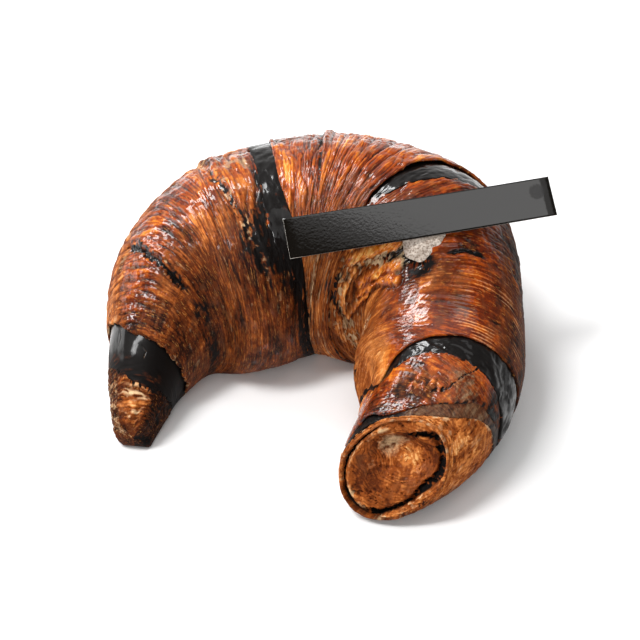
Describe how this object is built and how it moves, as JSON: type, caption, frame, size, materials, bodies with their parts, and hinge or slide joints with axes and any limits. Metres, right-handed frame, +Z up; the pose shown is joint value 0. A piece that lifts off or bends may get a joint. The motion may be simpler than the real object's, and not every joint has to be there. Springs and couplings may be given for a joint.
{
  "type": "black sesame croissant",
  "caption": "Tightly curled croissant of rolled laminated dough with black sesame bands, a cut end and a blank card strip held on its back by a dab of icing.",
  "frame": {"origin": "centre of the footprint box, at the height of the flat base", "axes": "+Z up; the bay between the two horns opens towards -Y; the closed tip is at -X and the cut end at +X"},
  "size_m": [0.149, 0.1484, 0.07],
  "materials": {
    "crust": "laminated dough baked mahogany brown under syrup glaze, with glossy black sesame dough bands",
    "card": "glossy black card, left bare, with a pale cut edge",
    "icing": "dry off-white icing with fine dark specks"
  },
  "bodies": {
    "root": {"croissant": "crust", "card_strip": "card", "icing_dab": "icing"}
  },
  "joints": []
}
